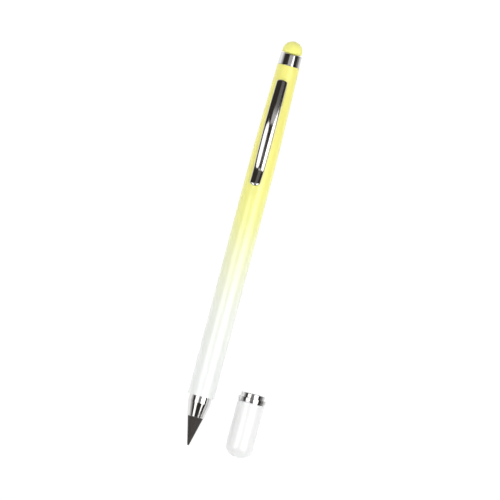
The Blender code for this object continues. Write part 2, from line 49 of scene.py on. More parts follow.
BARREL_RIM_ROUND = 0.00006
TAPER_START = 0.0335
TAPER_BLEND = 0.0040
STRAIGHT_ROW = 0.0260
TAPER_ROWS_FROM = 0.0235
TAPER_ROWS = 26
TANG_PLACE = 0.0564
TANG_WIDTH = 0.0022
TANG_SLACK = 0.00015
SHEET = 0.0004
SLOT_SURROUND = 0.0028
SLOT_DEPTH = 0.0012
SAME_PLACE = 1e-7
SMOOTH_TO = math.cos(math.radians(38))
SPRAY_START = -0.0432
SPRAY_END = 0.0318
SPRAY_DRIFT = 0.0030
SPRAY_STOPS = [
    (0.00, (0.889, 0.915, 0.894)),
    (0.28, (0.896, 0.929, 0.830)),
    (0.42, (0.905, 0.935, 0.700)),
    (0.56, (0.920, 0.945, 0.560)),
    (0.70, (0.940, 0.950, 0.345)),
    (0.86, (0.960, 0.940, 0.255)),
    (1.00, (0.985, 0.930, 0.225)),
]
SPECKLE = (0.97, 0.97, 0.93)


def soft_ramp(distance, blend):
    """Nothing before a bend and the distance after it, with a soft change between the two."""
    return (distance + math.sqrt(distance ** 2 + blend ** 2)) / 2


def barrel_radius(along):
    before = soft_ramp(BARREL_MOUTH - TAPER_START, TAPER_BLEND)
    here = soft_ramp(along - TAPER_START, TAPER_BLEND) - before
    whole = soft_ramp(BARREL_TOP - TAPER_START, TAPER_BLEND) - before
    return BARREL_RADIUS - (BARREL_RADIUS - BARREL_TOP_RADIUS) * here / whole


def outward(place, axis):
    """The way straight out from an axis to a place."""
    return Vector((place.x - axis.x, 0.0, place.z - axis.z))


def turn(outline, axis, closed=False, segments=128):
    """Turn (radius, place along Y) points about an axis. A closed outline goes round a tube's
    wall."""
    bm = bmesh.new()
    line = [bm.verts.new((axis.x + radius, along, axis.z)) for radius, along in outline]
    edges = [bm.edges.new(pair) for pair in zip(line, line[1:])]
    if closed:
        edges.append(bm.edges.new((line[-1], line[0])))
    bmesh.ops.spin(
        bm, geom=line + edges, cent=axis, axis=(0, 1, 0), angle=math.tau, steps=segments,
        use_merge=True,
    )
    bmesh.ops.remove_doubles(bm, verts=bm.verts, dist=SAME_PLACE)
    bmesh.ops.recalc_face_normals(bm, faces=bm.faces)
    return bm


def round_edges(bm, width, sharper_than=50.0, steps=2):
    """Round the edges at which faces meet at more than this many degrees."""
    corners = [edge for edge in bm.edges if edge.is_manifold]
    corners = [edge for edge in corners if edge.calc_face_angle() > math.radians(sharper_than)]
    bmesh.ops.bevel(
        bm, geom=corners, offset=width, offset_type="OFFSET", segments=steps, profile=0.5,
        affect="EDGES", material=-1, clamp_overlap=True,
    )


def with_corners(faces):
    """The faces with their edges and corners, each once, as a cut wants them."""
    edges = [edge for face in faces for edge in face.edges]
    verts = [vert for face in faces for vert in face.verts]
    return list(dict.fromkeys(faces + edges + verts))


def add_piece(name, bm, body, node, slot, *finishes):
    """Make the object, shaded so that its wide faces stay even up to their rounded edges, and put
    it on its body in place of the CAD node."""
    bm.normal_update()
    normals = []
    for face in bm.faces:
        for vert in face.verts:
            level = [near for near in vert.link_faces if near.normal.dot(face.normal) > SMOOTH_TO]
            blended = sum((near.normal * near.calc_area() for near in level), Vector())
            normals.append(blended.normalized())
    mesh = bpy.data.meshes.new(name)
    bm.to_mesh(mesh)
    bm.free()
    mesh.shade_smooth()
    mesh.normals_split_custom_set(normals)
    for finish in finishes:
        mesh.materials.append(finish)
    piece = bpy.data.objects.new(name, mesh)
    bpy.context.collection.objects.link(piece)
    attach(piece, body)
    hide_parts(node)


class Finish:
    """A material, and the few calls that add nodes to it."""

    def __init__(self, name, colour, roughness, metallic=0.0, others=None):
        self.made = bpy.data.materials.new(name)
        self.made.use_nodes = True
        self.nodes = self.made.node_tree.nodes
        self.links = self.made.node_tree.links
        self.shader = self.nodes["Principled BSDF"]
        self.shader.inputs["Base Color"].default_value = (*colour, 1.0)
        self.shader.inputs["Roughness"].default_value = roughness
        self.shader.inputs["Metallic"].default_value = metallic
        for socket, value in (others or {}).items():
            self.shader.inputs[socket].default_value = value
        self.place = self.add("TexCoord").outputs["Object"]

    def add(self, kind, inputs=None, **settings):
        node = self.nodes.new("ShaderNode" + kind)
        for setting, value in settings.items():
            setattr(node, setting, value)
        for socket, value in (inputs or {}).items():
            if isinstance(value, bpy.types.NodeSocket):
                self.links.new(value, node.inputs[socket])
            else:
                node.inputs[socket].default_value = value
        return node

    def math(self, operation, *values):
        return self.add("Math", dict(enumerate(values)), operation=operation).outputs[0]

    def noise(self, size, detail=3.0, stretch=(1, 1, 1)):
        """Noise whose lumps are about size metres across, drawn out along an axis by stretch."""
        scale = tuple(1 / (size * part) for part in stretch)
        placed = self.add("Mapping", {"Vector": self.place, "Scale": scale})
        spots = {"Vector": placed.outputs[0], "Scale": 1.0, "Detail": detail}
        return self.add("TexNoise", spots).outputs["Fac"]

    def rings(self, pitch):
        """Fine turning marks round Y, as a wave between -1 and 1."""
        along = self.add("SeparateXYZ", {"Vector": self.place}).outputs["Y"]
        return self.math("SINE", self.math("MULTIPLY", along, math.tau / pitch))

    def span(self, value, low, high, start=0.0, end=1.0):
        """A value between start and end, taken to between low and high."""
        spread = {"Value": value, "From Min": start, "From Max": end, "To Min": low, "To Max": high}
        return self.add("MapRange", spread).outputs[0]

    def mix(self, share, one, two):
        blended = self.add("Mix", {0: share, 6: (*one, 1.0), 7: (*two, 1.0)}, data_type="RGBA")
        return blended.outputs[2]

    def into(self, socket, value):
        self.links.new(value, self.shader.inputs[socket])

    def relief(self, height, depth):
        """Bump of this many metres from a height between 0 and 1."""
        bump = self.add("Bump", {"Height": height, "Distance": depth, "Strength": 1.0})
        self.links.new(bump.outputs["Normal"], self.shader.inputs["Normal"])


def lacquer(name, colour):
    """Lacquer under a satin coat, a little uneven in its shine and its level."""
    coat = {"Coat Weight": 0.80, "Coat Roughness": 0.16}
    finish = Finish(name, colour, roughness=0.36, others=coat)
    finish.into("Roughness", finish.span(finish.noise(0.006, detail=2.0), 0.31, 0.41))
    finish.relief(finish.noise(0.0009, detail=1.0), depth=0.0000012)
    return finish


sprayed = lacquer("sprayed_lacquer", (0.92, 0.91, 0.55))
drifting = sprayed.math("MULTIPLY", sprayed.noise(0.0028), SPRAY_DRIFT)
height_on_barrel = sprayed.add("SeparateXYZ", {"Vector": sprayed.place}).outputs["Y"]
misted = sprayed.math("ADD", height_on_barrel, drifting)
spray_share = sprayed.span(misted, 0.0, 1.0, start=SPRAY_START, end=SPRAY_END)
spray = sprayed.add("ValToRGB", {"Fac": spray_share})
for stop, colour in SPRAY_STOPS[1:-1]:
    spray.color_ramp.elements.new(stop).color = (*colour, 1.0)
spray.color_ramp.elements[0].color = (*SPRAY_STOPS[0][1], 1.0)
spray.color_ramp.elements[-1].color = (*SPRAY_STOPS[-1][1], 1.0)
speckle = sprayed.add("Mix", {6: spray.outputs[0], 7: (*SPECKLE, 1.0)}, data_type="RGBA")
specks = sprayed.span(sprayed.noise(0.00012, detail=1.0), 0.0, 0.10, start=0.45, end=0.80)
sprayed.links.new(specks, speckle.inputs[0])
sprayed.into("Base Color", speckle.outputs[2])

bare_aluminium = Finish("bare_aluminium", (0.78, 0.78, 0.77), roughness=0.26, metallic=1.0)
cut_marks = bare_aluminium.rings(pitch=0.00022)
drawn_streaks = bare_aluminium.noise(0.0011, stretch=(1, 6, 1))
bare_aluminium.into("Roughness", bare_aluminium.span(cut_marks, 0.20, 0.34, start=-1.0))
bare_aluminium.into(
    "Base Color", bare_aluminium.mix(drawn_streaks, (0.72, 0.72, 0.71), (0.84, 0.84, 0.83)),
)

taper = BARREL_TOP - TAPER_ROWS_FROM
stations = [TAPER_ROWS_FROM + taper * step / TAPER_ROWS for step in range(TAPER_ROWS + 1)]
outline = [(BARREL_RADIUS - BARREL_WALL, BARREL_MOUTH), (BARREL_RADIUS, BARREL_MOUTH)]
outline += [(BARREL_RADIUS, BARREL_MOUTH + STRAIGHT_ROW * step) for step in (1, 2)]
outline += [(barrel_radius(along), along) for along in stations]
outline += [(barrel_radius(along) - BARREL_WALL, along) for along in reversed(stations)]
barrel = turn(outline, PENCIL_AXIS, closed=True)
round_edges(barrel, BARREL_RIM_ROUND, sharper_than=60)

slot_half = Vector((TANG_WIDTH / 2 + TANG_SLACK, SHEET / 2 + TANG_SLACK, 0.0))
slot_middle = Vector((PENCIL_AXIS.x, TANG_PLACE, PENCIL_AXIS.z + BARREL_TOP_RADIUS))
for direction in ((1, 0, 0), (-1, 0, 0), (0, 1, 0), (0, -1, 0)):
    near = []
    for face in barrel.faces:
        if (face.calc_center_median() - slot_middle).length < SLOT_SURROUND:
            near.append(face)
    edge_of_slot = slot_middle + Vector(part * size for part, size in zip(direction, slot_half))
    bmesh.ops.bisect_plane(
        barrel, geom=with_corners(near), dist=SAME_PLACE, plane_co=edge_of_slot,
        plane_no=direction,
    )
in_slot = []
for face in barrel.faces:
    offset = face.calc_center_median() - slot_middle
    if abs(offset.x) < slot_half.x and abs(offset.y) < slot_half.y and abs(offset.z) < SLOT_DEPTH:
        in_slot.append(face)
bmesh.ops.delete(barrel, geom=in_slot, context="FACES")
bmesh.ops.bridge_loops(barrel, edges=[edge for edge in barrel.edges if edge.is_boundary])
for face in barrel.faces:
    centre = face.calc_center_median()
    bore = barrel_radius(centre.y) - BARREL_WALL / 4
    is_rim = abs(face.normal.y) > 0.8
    face.material_index = int(is_rim or outward(centre, PENCIL_AXIS).length < bore)
add_piece(
    "barrel_tube", barrel, "pencil", "barrel", "barrel_lacquer",
    sprayed.made, bare_aluminium.made,
)

# The nose is turned from brass and bright plated: a cone for the point's seat, a short straight
# collar that the cap's spigot slides over, and a long plug pressed into the barrel.
NOSE_FRONT = -0.0616
NOSE_SHOULDER = -0.0566
NOSE_PLUG_START = -0.05255
NOSE_PLUG_END = -0.04555
NOSE_RADIUS = 0.0039
NOSE_FRONT_RADIUS = 0.0029
NOSE_BORE_RADIUS = 0.0028
NOSE_EDGE_ROUND = 0.00007
THREAD_HOLE_RADIUS = 0.00155
THREAD_HOLE_END = -0.0558
PLUG_RADIUS = 0.0042


def plated(name, colour, pitch=None):
    """Bright plating: nearly a mirror, with faint polishing haze. Under it are turning marks of
    this pitch, or the slight waves of pressed sheet."""
    finish = Finish(name, colour, roughness=0.10, metallic=1.0)
    haze = finish.noise(0.0016, stretch=(1, 8, 1))
    finish.into("Roughness", finish.span(haze, 0.07, 0.14, start=0.3, end=0.8))
    finish.into("Base Color", finish.mix(haze, tuple(part * 0.93 for part in colour), colour))
    if pitch:
        finish.relief(finish.span(finish.rings(pitch), 0.0, 1.0, start=-1.0), pitch * 0.0012)
    else:
        finish.relief(finish.noise(0.0030, detail=1.0, stretch=(1, 8, 1)), depth=0.0000030)
    return finish


turned_chrome = plated("turned_chrome", (0.80, 0.79, 0.785), pitch=0.00012)
nose = turn([
    (THREAD_HOLE_RADIUS, NOSE_FRONT),
    (NOSE_FRONT_RADIUS, NOSE_FRONT),
    (NOSE_RADIUS, NOSE_SHOULDER),
    (NOSE_RADIUS, NOSE_PLUG_START),
    (PLUG_RADIUS, NOSE_PLUG_START),
    (PLUG_RADIUS, NOSE_PLUG_END),
    (NOSE_BORE_RADIUS, NOSE_PLUG_END),
    (NOSE_BORE_RADIUS, THREAD_HOLE_END + NOSE_BORE_RADIUS - THREAD_HOLE_RADIUS),
    (THREAD_HOLE_RADIUS, THREAD_HOLE_END),
], PENCIL_AXIS, closed=True)
round_edges(nose, NOSE_EDGE_ROUND, sharper_than=8)
add_piece("nose_plated", nose, "pencil", "nose_cone", "chrome", turned_chrome.made)

# The stud is turned from steel, with a thread of 3 mm and a pitch of 0.5 mm cut on it. It screws
# into the nose, and its thinner pin is fixed in the point.
STUD_END = -0.05615
STUD_FOOT = -0.06155
STUD_SEGMENTS = 48
THREAD_START = -0.06095
THREAD_ROWS = 80
THREAD_PITCH = 0.0005
THREAD_RADIUS = 0.0015
THREAD_DEPTH = 0.00024
THREAD_LEAD_IN = 0.0004
THREAD_SLOPE = 1.5
THREAD_FLAT = 0.25
PIN_RADIUS = 0.0010
PIN_END = -0.0666

threaded_steel = Finish("threaded_steel", (0.56, 0.55, 0.53), roughness=0.30, metallic=1.0)
oil = threaded_steel.noise(0.0008)
threaded_steel.into("Roughness", threaded_steel.span(oil, 0.22, 0.42))
threaded_steel.into(
    "Base Color", threaded_steel.mix(oil, (0.47, 0.46, 0.44), (0.62, 0.61, 0.59)),
)

thread_length = STUD_END - THREAD_START
outline = [(0.0, PIN_END), (PIN_RADIUS, PIN_END), (PIN_RADIUS, STUD_FOOT)]
outline += [(THREAD_RADIUS - THREAD_DEPTH, STUD_FOOT)]
for step in range(THREAD_ROWS + 1):
    outline.append((THREAD_RADIUS, THREAD_START + thread_length * step / THREAD_ROWS))
outline += [(0.0, STUD_END)]
stud = turn(outline, PENCIL_AXIS, segments=STUD_SEGMENTS)
for vert in stud.verts:
    out = outward(vert.co, PENCIL_AXIS)
    if out.length < THREAD_RADIUS - THREAD_DEPTH / 2:
        continue
    turns = (vert.co.y / THREAD_PITCH - math.atan2(out.z, out.x) / math.tau) % 1.0
    ridge = THREAD_SLOPE * (1 - abs(2 * turns - 1)) - THREAD_FLAT
    from_end = min(vert.co.y - THREAD_START, STUD_END - vert.co.y)
    lead_in = min(max(from_end / THREAD_LEAD_IN, 0.0), 1.0)
    groove = THREAD_DEPTH * (1 - min(max(ridge, 0.0), 1.0) * lead_in)
    vert.co += out.normalized() * (THREAD_RADIUS - groove - out.length)
bmesh.ops.recalc_face_normals(stud, faces=stud.faces)
add_piece("point_stud", stud, "point", "nib_stem", "steel", threaded_steel.made)

# The point is a cone of graphite-like alloy that leaves a grey line by wear. It is turned and
# matt, with a small ball for a tip, and is fixed to the stud's pin in a blind hole.
POINT_BACK = -0.06165
POINT_RADIUS = 0.0027
POINT_EDGE_ROUND = 0.00005
TIP_RADIUS = 0.00035
TIP_CENTRE = -0.0713
HOLE_RADIUS = 0.00105
HOLE_END = -0.06665
HOLE_DRILL_CONE = 0.00063


def arc(centre, outwards, along, start, end, steps):
    """Points on an oval arc between two angles. At nought it is outwards from the centre, and at
    a quarter turn it is along from it."""
    points = []
    for step in range(steps + 1):
        angle = start + (end - start) * step / steps
        reach = (outwards * math.cos(angle), along * math.sin(angle))
        points.append((centre[0] + reach[0], centre[1] + reach[1]))
    return points


alloy = Finish(
    "point_alloy", (0.055, 0.050, 0.045), roughness=0.50, metallic=0.20,
    others={"Specular IOR Level": 0.28},
)
grain = alloy.noise(0.00018)
alloy.into("Base Color", alloy.mix(grain, (0.034, 0.030, 0.027), (0.064, 0.057, 0.051)))
alloy.into("Roughness", alloy.span(grain, 0.42, 0.60))
tool_marks = alloy.span(alloy.rings(pitch=0.00016), 0.0, 1.0, start=-1.0)
alloy.relief(alloy.math("ADD", tool_marks, grain), depth=0.0000022)

length = POINT_BACK - TIP_CENTRE
half_angle = math.atan2(POINT_RADIUS, length)
half_angle -= math.asin(TIP_RADIUS / math.hypot(POINT_RADIUS, length))
outline = arc((0.0, TIP_CENTRE), TIP_RADIUS, -TIP_RADIUS, math.pi / 2, half_angle, steps=8)
outline += [
    (POINT_RADIUS, POINT_BACK),
    (HOLE_RADIUS, POINT_BACK),
    (HOLE_RADIUS, HOLE_END),
    (0.0, HOLE_END - HOLE_DRILL_CONE),
]
point = turn(outline, PENCIL_AXIS)
round_edges(point, POINT_EDGE_ROUND)
add_piece("point_cone", point, "point", "nib_point", "point_alloy", alloy.made)

# The bush in the barrel's taper is moulded in natural plastic. It wedges there and locks the
# clip's tang. Nothing shows it, so it keeps the mesh of its solid.
moulded = Finish("natural_plastic", (0.74, 0.74, 0.71), roughness=0.45)
flow = moulded.noise(0.0030, stretch=(1, 3, 1))
moulded.into("Base Color", moulded.mix(flow, (0.68, 0.68, 0.65), (0.78, 0.78, 0.76)))
moulded.into("Roughness", moulded.span(flow, 0.38, 0.55))
moulded.relief(moulded.noise(0.0002, detail=1.0), depth=0.0000020)
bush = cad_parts["clip_retainer"]
bush.data.materials.clear()
bush.data.materials.append(moulded.made)

# The clip is pressed from 0.4 mm spring steel and bright plated. It is an arched strip with cheeks
# at its root that stand over the barrel, a knee, a turned-up end, and a tang bent under the
# barrel's wall.
CLIP_TOP = 0.0581
CLIP_LENGTH = 0.0378
CLIP_WIDTH = 0.00395
CLIP_NARROWING = 0.00034
CLIP_WIDEST = 0.0170
CLIP_CROWN = 0.00075
CLIP_LIP = 0.00025
CLIP_ROOT_RISE = 0.0004
CLIP_ROOT_SLOPE = math.tan(math.radians(6.5))
CLIP_KNEE_SLOPE = math.tan(math.radians(2))
CLIP_FALL = math.tan(math.radians(-2.8))
CLIP_TIP_RISE = math.tan(math.radians(14))
CLIP_KNEE = 0.0160
CLIP_KNEE_BEND = 0.0021
CLIP_CONTACT = 0.0325
CLIP_CONTACT_BEND = 0.0012
CLIP_ARCH_ROUND = 0.00029
CLIP_EDGE_ROUND = 0.00006
CLIP_TWIST = 0.055
CLIP_LEAN = 0.08
CLIP_TOP_ROLL = 0.0004
CLIP_TOP_SET_IN = 0.0003
CLIP_END = 0.0012
CLIP_END_SHARE = 0.72
CLIP_END_BOW = 0.0004
CLIP_END_DROP = 0.00035
CLIP_ROWS = 150
CLIP_COLUMNS = 36
CHEEK_START = 0.0018
CHEEK_END = 0.0095
CHEEK_FADE = 0.0007
CHEEK_FLARE = 0.18
CHEEK_REACH = 0.0010
CHEEK_GAP = 0.0003
ARCH_SHARE = 0.8
TANG_SURROUND_ACROSS = 0.0014
TANG_SURROUND_ALONG = 0.0010
TANG_FOOT = 0.0018


def clip_half_width(along):
    full = (CLIP_WIDTH - CLIP_NARROWING * ((along - CLIP_WIDEST) / CLIP_WIDEST) ** 2) / 2
    from_end = min(min(along, CLIP_LENGTH - along) / CLIP_END, 1.0)
    rounded = math.sqrt(1 - (1 - from_end) ** 2)
    return full * (CLIP_END_SHARE + (1 - CLIP_END_SHARE) * rounded)


def clip_edge_height(along):
    arched = min(along, CLIP_KNEE)
    height = barrel_radius(CLIP_TOP) + CLIP_ROOT_RISE + CLIP_ROOT_SLOPE * along
    eased = along - arched + arched ** 2 / (2 * CLIP_KNEE)
    height += (CLIP_KNEE_SLOPE - CLIP_ROOT_SLOPE) * eased
    height += (CLIP_FALL - CLIP_KNEE_SLOPE) * soft_ramp(along - CLIP_KNEE, CLIP_KNEE_BEND)
    height += (CLIP_TIP_RISE - CLIP_FALL) * soft_ramp(along - CLIP_CONTACT, CLIP_CONTACT_BEND)
    over_top = max(1 - along / CLIP_TOP_ROLL, 0.0)
    height -= CLIP_END_DROP * (1 - math.sqrt(1 - over_top ** 2))
    return height - CLIP_END_DROP * max(1 - (CLIP_LENGTH - along) / CLIP_END, 0.0) ** 2


def fade(value):
    value = min(max(value, 0.0), 1.0)
    return value * value * (3 - 2 * value)


def clip_side_depth(along):
    """How far the sides reach down: a small lip, and at the root cheeks that follow the barrel."""
    foot = clip_half_width(along) + CHEEK_FLARE * CHEEK_REACH
    seat = math.sqrt(barrel_radius(CLIP_TOP - along) ** 2 - foot ** 2) + CHEEK_GAP
    full = max(clip_edge_height(along) - seat, CLIP_LIP)
    window = fade((along - CHEEK_START) / CHEEK_FADE) * fade((CHEEK_END - along) / CHEEK_FADE)
    return CLIP_LIP + (full - CLIP_LIP) * window


def clip_top_arch(across):
    """The upper face is a shallow arch whose two edges are rounded off."""
    arch = (CLIP_CROWN - CLIP_ARCH_ROUND) * (1 - across ** 2)
    return arch + CLIP_ARCH_ROUND * math.sqrt(1 - across ** 20)


def clip_inner_arch(across):
    return (CLIP_CROWN - SHEET) * math.sqrt(1 - across ** 2)


def shape_clip(verts, inset, arch):
    """Take a flat grid, 2 by 2, to one face of the strip: across it X is -1 to 1, and along it Y
    is 1 to -1."""
    for vert in verts:
        across = vert.co.x
        along = CLIP_LENGTH * (1 - math.cos(math.pi * (1 - vert.co.y) / 2)) / 2
        half = clip_half_width(along) - inset
        quarter = min(abs(across) / ARCH_SHARE, 1.0) * math.pi / 2
        on_side = max(abs(across) - ARCH_SHARE, 0.0) / (1 - ARCH_SHARE)
        down = clip_side_depth(along) * on_side
        x = math.copysign(half * math.sin(quarter) + CHEEK_FLARE * down, across)
        leant = math.copysign(math.sin(quarter), across)
        z = clip_edge_height(along) + arch(leant) - down
        z -= half * (CLIP_TWIST * leant + CLIP_LEAN * leant ** 3 / 3)
        at_tip = max(1 - (CLIP_LENGTH - along) / CLIP_END, 0.0)
        at_top = max(1 - along / CLIP_END, 0.0)
        bow = -CLIP_END_BOW * at_tip * (x / half) ** 2
        bow += CLIP_TOP_SET_IN * at_top * (1 + (x / half) ** 2)
        vert.co = (PENCIL_AXIS.x + x, CLIP_TOP - along - bow, PENCIL_AXIS.z + z)


def extrude(bm, faces):
    """Extrude faces, take the old ones away, and give the new faces and their corners."""
    grown = bmesh.ops.extrude_face_region(bm, geom=faces)["geom"]
    bmesh.ops.delete(bm, geom=faces, context="FACES")
    new_faces = [part for part in grown if isinstance(part, bmesh.types.BMFace)]
    return new_faces, [part for part in grown if isinstance(part, bmesh.types.BMVert)]


clip = bmesh.new()
grid = {"x_segments": CLIP_COLUMNS, "y_segments": CLIP_ROWS, "size": 1.0}
face_up = bmesh.ops.create_grid(clip, **grid)["verts"]
face_down = bmesh.ops.create_grid(clip, **grid)["verts"]
shape_clip(face_up, 0.0, clip_top_arch)
shape_clip(face_down, SHEET, clip_inner_arch)
lower_corners = set(face_down)
under = [face for face in clip.faces if face.verts[0] in lower_corners]
rims = [edge for edge in clip.edges if edge.is_boundary]

tang_middle = Vector((PENCIL_AXIS.x, TANG_PLACE, 0.0))
for direction, size in (((1, 0, 0), TANG_WIDTH), ((0, 1, 0), SHEET)):
    for side in (1, -1):
        near = []
        for face in under:
            offset = face.calc_center_median() - tang_middle
            if abs(offset.y) < TANG_SURROUND_ALONG and abs(offset.x) < TANG_SURROUND_ACROSS:
                near.append(face)
        cut = bmesh.ops.bisect_plane(
            clip, geom=with_corners(near), dist=SAME_PLACE, plane_no=direction,
            plane_co=tang_middle + Vector(direction) * side * size / 2,
        )
        under += [part for part in cut["geom"] if isinstance(part, bmesh.types.BMFace)]
        under = [face for face in dict.fromkeys(under) if face.is_valid]
root = []
for face in under:
    offset = face.calc_center_median() - tang_middle
    if abs(offset.x) < TANG_WIDTH / 2 and abs(offset.y) < SHEET / 2:
        root.append(face)
bore_at_tang = barrel_radius(TANG_PLACE) - BARREL_WALL
foot_top = PENCIL_AXIS.z + math.sqrt(bore_at_tang ** 2 - (TANG_WIDTH / 2) ** 2) - TANG_SLACK
for level in (foot_top, foot_top - SHEET):
    root, corners = extrude(clip, root)
    for vert in corners:
        vert.co.z = level
bmesh.ops.bridge_loops(clip, edges=rims)
bmesh.ops.recalc_face_normals(clip, faces=clip.faces)
shin = []
for face in clip.faces:
    centre = face.calc_center_median()
    in_tang = abs(centre.x - PENCIL_AXIS.x) < TANG_WIDTH / 2
    if in_tang and foot_top - SHEET < centre.z < foot_top and face.normal.y > 0.9:
        shin.append(face)
corners = extrude(clip, shin)[1]
bmesh.ops.translate(clip, vec=(0, TANG_FOOT, 0), verts=corners)
bmesh.ops.recalc_face_normals(clip, faces=clip.faces)
round_edges(clip, CLIP_EDGE_ROUND, sharper_than=55)
pressed_chrome = plated("pressed_chrome", (0.78, 0.77, 0.765))
add_piece("clip_spring", clip, "clip", "clip", "chrome", pressed_chrome.made)

# The collar is turned, bright plated, and flares towards the barrel. Its spigot is pressed into
# the barrel's top, and its lip holds the neck of the rubber dome.
COLLAR_FOOT = 0.06305
COLLAR_TOP = 0.06715
COLLAR_SPIGOT_END = 0.05945
COLLAR_FOOT_RADIUS = 0.0038
COLLAR_TOP_RADIUS = 0.0037
COLLAR_SHOULDER = 0.0003
COLLAR_SPIGOT_RADIUS = 0.0035
COLLAR_BORE_RADIUS = 0.00315
COLLAR_EDGE_ROUND = 0.00009
NECK_RADIUS = 0.0025
NECK_SLACK = 0.00005
LIP_DEPTH = 0.0010

shoulder_centre = (COLLAR_TOP_RADIUS - COLLAR_SHOULDER, COLLAR_TOP - COLLAR_SHOULDER)
outline = [(COLLAR_FOOT_RADIUS, COLLAR_FOOT)]
outline += arc(shoulder_centre, COLLAR_SHOULDER, COLLAR_SHOULDER, 0.0, math.pi / 2, steps=8)
outline += [
    (NECK_RADIUS + NECK_SLACK, COLLAR_TOP),
    (NECK_RADIUS + NECK_SLACK, COLLAR_TOP - LIP_DEPTH),
    (COLLAR_BORE_RADIUS, COLLAR_TOP - LIP_DEPTH),
    (COLLAR_BORE_RADIUS, COLLAR_SPIGOT_END),
    (COLLAR_SPIGOT_RADIUS, COLLAR_SPIGOT_END),
    (COLLAR_SPIGOT_RADIUS, COLLAR_FOOT),
]
collar = turn(outline, PENCIL_AXIS, closed=True)
round_edges(collar, COLLAR_EDGE_ROUND)
add_piece("collar_plated", collar, "pencil", "top_collar", "chrome", turned_chrome.made)

# The plug behind the dome's foot is turned from brass. Pressed into the neck, it keeps the dome in
# the collar. Nothing shows it, so it keeps the mesh of its solid.
brass = Finish("turned_brass", (0.72, 0.56, 0.28), roughness=0.30, metallic=1.0)
brass.into("Base Color", brass.mix(brass.noise(0.0010), (0.60, 0.44, 0.21), (0.78, 0.62, 0.33)))
brass.into("Roughness", brass.span(brass.rings(pitch=0.00015), 0.24, 0.38, start=-1.0))
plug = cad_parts["stylus_plug"]
plug.data.materials.clear()
plug.data.materials.append(brass.made)

# The dome is soft conductive rubber, moulded hollow in yellow with a matt skin. It has a rolled
# rim, a neck through the collar's lip, and a foot that the lip holds.
DOME_BASE = 0.06745
DOME_WIDEST = 0.06825
DOME_TOP = 0.07165
DOME_RADIUS = 0.003425
DOME_WALL = 0.0007
DOME_RIM_ROUND = 0.00014
DOME_FOOT_TOP = 0.0661
DOME_FOOT_RADIUS = 0.00305
DOME_FOOT = 0.0008

rubber = Finish(
    "yellow_rubber", (0.98, 0.95, 0.24), roughness=0.62,
    others={"Sheen Weight": 0.40, "Sheen Roughness": 0.5},
)
bloom = rubber.noise(0.0014)
rubber.into("Base Color", rubber.mix(bloom, (0.970, 0.935, 0.215), (0.990, 0.970, 0.275)))
rubber.into("Roughness", rubber.span(bloom, 0.55, 0.70))
rubber.relief(rubber.noise(0.00012, detail=2.0), depth=0.0000040)

dome_height = DOME_TOP - DOME_WIDEST
dome_bore = DOME_RADIUS - DOME_WALL
outline = arc((0.0, DOME_WIDEST), DOME_RADIUS, dome_height, math.pi / 2, 0.0, steps=24)
outline += [
    (DOME_RADIUS, DOME_BASE),
    (NECK_RADIUS, DOME_BASE),
    (NECK_RADIUS, DOME_FOOT_TOP),
    (DOME_FOOT_RADIUS, DOME_FOOT_TOP),
    (DOME_FOOT_RADIUS, DOME_FOOT_TOP - DOME_FOOT),
    (NECK_RADIUS - DOME_WALL, DOME_FOOT_TOP - DOME_FOOT),
    (NECK_RADIUS - DOME_WALL, DOME_WIDEST),
]
outline += arc((0.0, DOME_WIDEST), dome_bore, dome_height - DOME_WALL, 0.0, math.pi / 2, steps=12)
dome = turn(outline, PENCIL_AXIS)
round_edges(dome, DOME_RIM_ROUND, steps=3)
add_piece("dome_rubber", dome, "pencil", "stylus_dome", "dome_rubber", rubber.made)

# The cap is drawn from aluminium, as a tube closed in a flattened dome. It is sprayed white, under
# the same satin coat as the barrel.
CAP_AXIS = Vector((0.0086, 0.0, 0.00485))
CAP_END = -0.07135
CAP_DOME_START = -0.06755
CAP_WALL = 0.00035
CAP_RADIUS = 0.004675
CAP_BORE_RADIUS = 0.004325
CAP_EDGE_ROUND = 0.0001
SHELL_MOUTH = -0.0521

white = lacquer("white_lacquer", (0.895, 0.905, 0.895))
mist = white.noise(0.0026)
white.into("Base Color", white.mix(mist, (0.885, 0.897, 0.885), (0.905, 0.915, 0.905)))

cap_dome = CAP_DOME_START - CAP_END
dome_centre = (0.0, CAP_DOME_START)
outline = arc(dome_centre, CAP_BORE_RADIUS, CAP_WALL - cap_dome, math.pi / 2, 0.0, steps=16)
outline += [(CAP_BORE_RADIUS, SHELL_MOUTH), (CAP_RADIUS, SHELL_MOUTH)]
outline += arc(dome_centre, CAP_RADIUS, -cap_dome, 0.0, math.pi / 2, steps=24)
shell = turn(outline, CAP_AXIS)
round_edges(shell, CAP_EDGE_ROUND)
add_piece("cap_drawn", shell, "cap", "cap_shell", "cap_lacquer", white.made)

# The liner is a cup moulded in the same natural plastic as the bush, and pushed into the cap. Six
# ribs in it grip the nose when the cap is on.
LINER_RADIUS = 0.004275
LINER_BORE_RADIUS = 0.003675
LINER_MOUTH = -0.0559
LINER_MOUTH_FLARE = 0.0004
LINER_MOUTH_DEPTH = 0.0008
LINER_FLOOR = -0.06905
LINER_FLOOR_INSET = 0.0006
LINER_DOME = 0.00335
LINER_END = -0.069919
LINER_END_RADIUS = 0.003023
LINER_EDGE_ROUND = 0.00005
LINER_SEGMENTS = 96
RIB_START = -0.0571
RIB_END = -0.0651
RIB_HEIGHT = 0.0003
RIB_COUNT = 6
RIB_HALF_SHARE = 0.0626
RIB_SLACK = 0.0001

